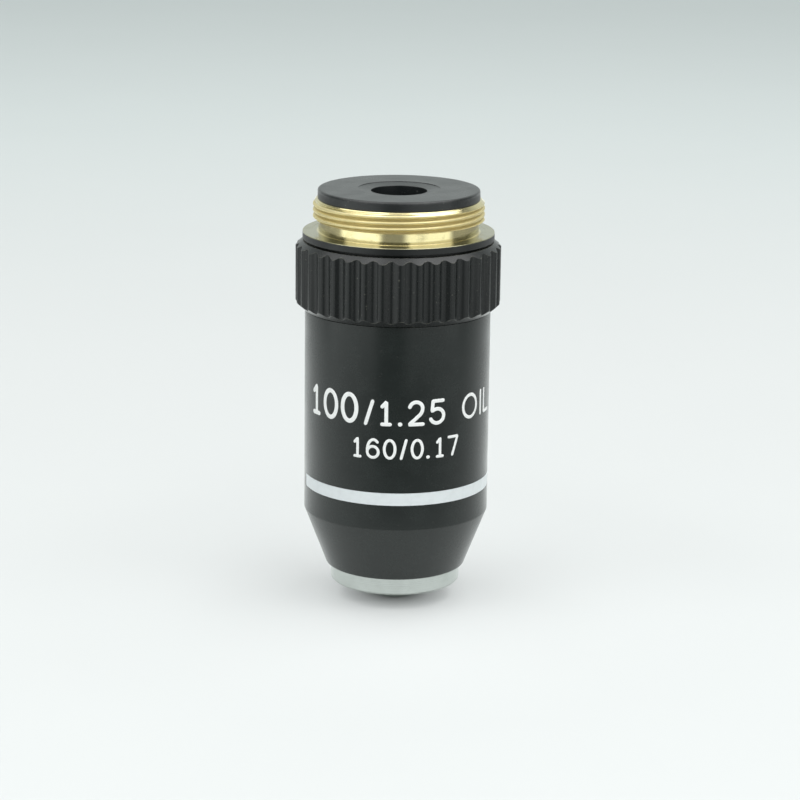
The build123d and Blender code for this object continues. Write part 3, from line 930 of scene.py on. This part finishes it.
def buildMarking(marking):
    # All the strokes as one mesh. The quads of each grid count on from the points before it.
    grids = []
    for base, height, figures in marking["rows"]:
        for figure, left, right, width in figures:
            grids += buildFigure(figure, left, right, base, height, width)
    used = np.cumsum([0] + [grid.shape[0] * grid.shape[1] for grid in grids])
    quads = [gridQuads(*grid.shape[:2], first=first) for grid, first in zip(grids, used)]
    points = np.concatenate([grid.reshape(-1, 3) for grid in grids])
    return newPiece("marking", points, np.concatenate(quads))


print("marking")
figurePaint = paintFinish("whiteFigures", paintLook["figureColour"], paintLook["roughness"])
dress(buildMarking(marking), figurePaint, "housing")


# Inner pieces keep their own form

innerBrassLook = {
    "colour": (0.72, 0.58, 0.32),
    "dullColour": (0.5, 0.39, 0.2),
    "speckColour": (0.30, 0.22, 0.10),
    "roughness": 0.25,
}
innerBlackLook = {
    "colour": (0.025, 0.025, 0.025),
    "wornColour": (0.1, 0.1, 0.1),
    "roughness": 0.6,
    "wear": 0.0,
    "ringsPerMillimetre": 6.0,
    "ringStrength": 0.18,
    "shine": 0.5,
}
pinLook = {
    "colour": (0.6, 0.6, 0.6),
    "roughness": 0.2,
}
crownLook = {
    "colour": (0.93, 0.97, 0.96),
    "index": 1.52,
}
flintLook = {
    "colour": (0.96, 0.97, 0.92),
    "index": 1.66,
}


def glassFinish(name, look):
    # Coated glass, slightly tinted, with a little dust.
    finish = Finish(name, Base_Color=look["colour"], IOR=look["index"], Metallic=0.0)
    dust = finish.noise(finish.place(), scale=4.0, detail=3.0)
    finish.set(Transmission_Weight=1.0, Roughness=finish.ramp(dust, 0.6, 0.8, 0.01, 0.06))
    return finish.material


print("inner pieces")
innerFinishes = [
    (brassFinish("innerBrass", innerBrassLook),
     ["spring_ring", "stop_ring", "meniscus_cell", "middle_cell", "rear_cell"]),
    (blackFinish("innerBlack", innerBlackLook),
     ["front_spacer", "rear_spacer", "aperture_stop", "lock_ring"]),
    (steelFinish("pinSteel", pinLook), ["guide_pin"]),
    (glassFinish("crownGlass", crownLook),
     ["front_lens", "meniscus_lens", "middle_crown", "rear_crown"]),
    (glassFinish("flintGlass", flintLook), ["middle_flint", "rear_flint"]),
]
for material, nodeNames in innerFinishes:
    for nodeName in nodeNames:
        node = frame["nodes"][nodeName]
        for meshPiece in [node] + list(node.children_recursive):
            if meshPiece.type == "MESH":
                for materialSlot in meshPiece.material_slots:
                    materialSlot.material = material


# Floor, lamps and camera

# A range is a pair of values between which one look gives way to the next: distances from the
# object in millimetres, but angles for the two boxes, behindRange and frontRange. Angles are in
# degrees, 0 at the front and positive to the right.
stage = {
    "floorColour": (0.44, 0.458, 0.452),
    "floorTone": 1.03,
    "footPaper": (0.84, 0.87, 0.86),         # the paper under the nose as shiny metal sees it
    "floorReach": 3000.0,
    "floorHeight": -0.02,
    "nearGlow": (0.228, 0.233, 0.236),       # light of the sheet's own, seen by the camera alone
    "farGlow": (0.262, 0.302, 0.300),
    "farGlowRange": (90.0, 420.0),
    # painted light: an extra glow close to the object that lightens its shadow, in place of a front fill
    # lamp
    "footGlow": (0.055, 0.055, 0.055),       # added close to the object, where a front fill would reach
    "footGlowRange": (12.0, 48.0),
    # painted shade: the glow is taken away under the nose, which darkens the floor there
    "contactRange": (0.5, 7.0),              # no glow under the nose
    "horizonGlow": (0.62, 0.68, 0.66),
    "horizonRange": (600.0, 1700.0),
    # painted reflections: the sheet glows with these pools for reflection rays only
    "poolColour": (1.9, 2.0, 1.97),          # the pools of light that polished metal sees in the sheet
    "poolRange": (174.0, 320.0),
    "poolBlur": 6.0,
    "leftBox": (-88.0, -25.0),
    "leftBlur": 5.0,
    "rightBox": (10.0, 79.0),
    "rightBlur": 6.0,
    "boxShine": 1.75,
    "rightShare": 0.80,
    "gapShine": 0.32,
    "behindRange": (150.0, 172.0),
    "backShine": 0.85,
    "frontAt": 15.0,
    "frontRange": (12.0, 140.0),
    "frontShine": 0.20,
    "sideShine": 1.15,
    "nearShineRange": (50.0, 130.0),
    "nearShineGain": 1.3,
    "footShine": 1.05,
    "footShineRange": (25.0, 70.0),
    "shadowRange": (7.0, 18.0),
    "lampTarget": (0.0, 0.0, 0.027),
    "roomColour": (0.93, 1.0, 0.98),
    "roomSlope": (0.35, 0.8),                # the glow grows as a direction turns to the back
    "roomGlow": (0.16, 0.75),
    "backdropColour": (0.73, 0.79, 0.77),
}
# Soft boxes: azimuth and elevation, distance, width and height in metres, and radiance.
lamps = {
    "leftBox": (-54, 30, 0.60, 0.62, 0.66, 1.25),
    "rightBox": (49, 30, 0.60, 0.80, 0.66, 1.25),
    "topLeftBox": (-90, 65, 0.60, 0.66, 0.34, 1.9),
    "topRightBox": (90, 65, 0.60, 0.66, 0.34, 2.7),
    "topBox": (0, 84, 0.62, 0.42, 0.48, 1.35),
    "frontBox": (0, 44, 0.62, 0.52, 0.30, 1.3),
}
black = (0, 0, 0)


def sheetShine(finish, stage, distance, azimuth):
    # Painted reflections: what polished metal sees in the sheet's glow. Near the object a sheen that grows
    # away from the front, and further out painted pools that stand for the two soft boxes and a weaker one
    # behind.
    gap = stage["gapShine"]
    boxes = window(azimuth, *stage["leftBox"], stage["leftBlur"], finish)
    rightBox = window(azimuth, *stage["rightBox"], stage["rightBlur"], finish)
    boxes = boxes + rightBox * stage["rightShare"]
    behind = finish.ramp(azimuth.math("ABSOLUTE"), *stage["behindRange"])
    farShine = boxes * (stage["boxShine"] - gap) + behind * (stage["backShine"] - gap) + gap
    offFront = (azimuth - stage["frontAt"]).math("ABSOLUTE")
    nearShine = finish.ramp(offFront, *stage["frontRange"], stage["frontShine"], stage["sideShine"])
    nearShine = nearShine * finish.ramp(distance, *stage["nearShineRange"], stage["nearShineGain"], 1.0)
    atFoot = finish.ramp(distance, *stage["footShineRange"], 1.0, 0.0)
    footShine = nearShine + atFoot * (stage["footShine"] - nearShine)
    inPools = window(distance, *stage["poolRange"], stage["poolBlur"], finish)
    return footShine + inPools * (farShine - footShine)


def sheetGlow(finish, stage, distance):
    # What the camera sees beside the lit paper: a little light of the sheet's own, which keeps it
    # pale far back, with more of it close to the object as painted light that lightens its shadow,
    # and none under the nose, which is painted shade.
    far = finish.ramp(distance, *stage["farGlowRange"])
    glow = finish.mixColour(far, stage["nearGlow"], stage["farGlow"])
    # painted light: the glow grows close to the object and lightens its shadow there
    paintedFillMask = finish.ramp(distance, *stage["footGlowRange"], 1.0, 0.0)
    glow = finish.mixColour(paintedFillMask, glow, stage["footGlow"], "ADD")
    # painted shade: no glow under the nose, so the floor there is darker
    glow = finish.mixColour(finish.ramp(distance, *stage["contactRange"]), black, glow)
    glow = finish.mixColour(finish.ramp(distance, *stage["horizonRange"]), glow, stage["horizonGlow"])
    return finish.mixColour(finish.rays("Is Camera Ray"), black, glow)


def buildFloor(stage):
    # A flat sheet just under the tip, with one look for the camera and one for polished metal.
    side = np.linspace(-stage["floorReach"], stage["floorReach"], 9)
    x, y = np.meshgrid(side, side)
    points = np.stack([x, y, np.full_like(x, stage["floorHeight"])], axis=-1)
    floor = gridMesh("floor", points, closeAround=False, closeAlong=False)
    finish = Finish("floorPaper", Roughness=0.7, Specular_IOR_Level=0.1, Emission_Strength=1.0)
    vector = finish.place()
    x, y = finish.parts(vector)[:2]
    distance = radiusOf(x, y)
    azimuth = x.math("ARCTAN2", y * -1.0) * math.degrees(1)
    shiny = finish.rays("Is Glossy Ray")
    shaded = finish.ramp(distance, *stage["shadowRange"])
    shine = sheetShine(finish, stage, distance, azimuth)
    # painted reflections: the glow that reflection rays see in the sheet
    pools = finish.mixColour(shine * shaded * 0.5, black, stage["poolColour"])
    pale = tuple(min(1.0, channel * stage["floorTone"]) for channel in stage["floorColour"])
    sheet = finish.mixColour(finish.noise(vector, scale=0.02, detail=2.0), stage["floorColour"], pale)
    sheet = finish.mixColour(shiny, sheet, stage["footPaper"])
    finish.set(Base_Color=finish.mixColour(shiny * shaded, sheet, black),
               Emission_Color=finish.mixColour(shiny, sheetGlow(finish, stage, distance), pools))
    finish.material.cycles.emission_sampling = "NONE"
    floor.data.materials.append(finish.material)


def areaLamp(name, azimuth, elevation, distance, width, height, radiance):
    # A soft box that faces the object. Its power follows from the radiance of its face, power =
    # radiance x pi x area.
    lamp = bpy.data.lights.new(name, "AREA")
    lamp.shape = "RECTANGLE"
    lamp.size = width
    lamp.size_y = height
    lamp.energy = radiance * math.pi * width * height
    piece = bpy.data.objects.new(name, lamp)
    turn = math.radians(azimuth)
    tilt = math.radians(elevation)
    back = np.array([math.sin(turn) * math.cos(tilt), -math.cos(turn) * math.cos(tilt), math.sin(tilt)])
    side = np.array([math.cos(turn), math.sin(turn), 0.0])
    up = np.cross(back, side)
    place = np.array(stage["lampTarget"]) + back * distance
    piece.matrix_world = Matrix([[side[k], up[k], back[k], place[k]] for k in range(3)] + [[0, 0, 0, 1]])
    piece.visible_camera = False
    scene.collection.objects.link(piece)


def buildWorld(stage):
    # A dim room with a bright back, and the pale backdrop for the camera.
    world = bpy.data.worlds.new("studio")
    scene.world = world
    nodes = Nodes(world)
    nodes.tree.nodes.clear()
    towards = nodes.parts(nodes.node("ShaderNodeTexCoord", output="Generated"))[1]
    glow = nodes.ramp(towards, *stage["roomSlope"], *stage["roomGlow"])
    room = nodes.node("ShaderNodeBackground", None, {"Color": stage["roomColour"], "Strength": glow})
    backdrop = nodes.node("ShaderNodeBackground", None, {"Color": stage["backdropColour"]})
    both = nodes.node("ShaderNodeMixShader", None, {0: nodes.rays("Is Camera Ray"), 1: room, 2: backdrop})
    nodes.add("ShaderNodeOutputWorld", None, {"Surface": both})


# The camera of the photo: metres and degrees, and the focal length and frame in pixels.
view = {
    "distance": 0.32104,
    "height": 0.10625,
    "pitch": 14.358,
    "yaw": 0.071,
    "roll": 0.69,
    "focal": 2772.8,
    "frame": 800,
    "sensorWidth": 36,
    "clipStart": 0.01,
}


def buildCamera(view):
    camera = bpy.data.objects.new("camera", bpy.data.cameras.new("camera"))
    scene.collection.objects.link(camera)
    camera.data.sensor_width = view["sensorWidth"]
    camera.data.lens = view["focal"] / view["frame"] * view["sensorWidth"]
    camera.data.clip_start = view["clipStart"]
    turn = Matrix.Rotation(math.radians(-view["yaw"]), 4, "Z")
    tilt = Matrix.Rotation(math.radians(90 - view["pitch"]), 4, "X")
    roll = Matrix.Rotation(math.radians(view["roll"]), 4, "Z")
    camera.matrix_world = Matrix.Translation((0, -view["distance"], view["height"])) @ turn @ tilt @ roll
    scene.camera = camera


print("stage")
buildFloor(stage)
for lampName, lampValues in lamps.items():
    areaLamp(lampName, *lampValues)
buildWorld(stage)
buildCamera(view)
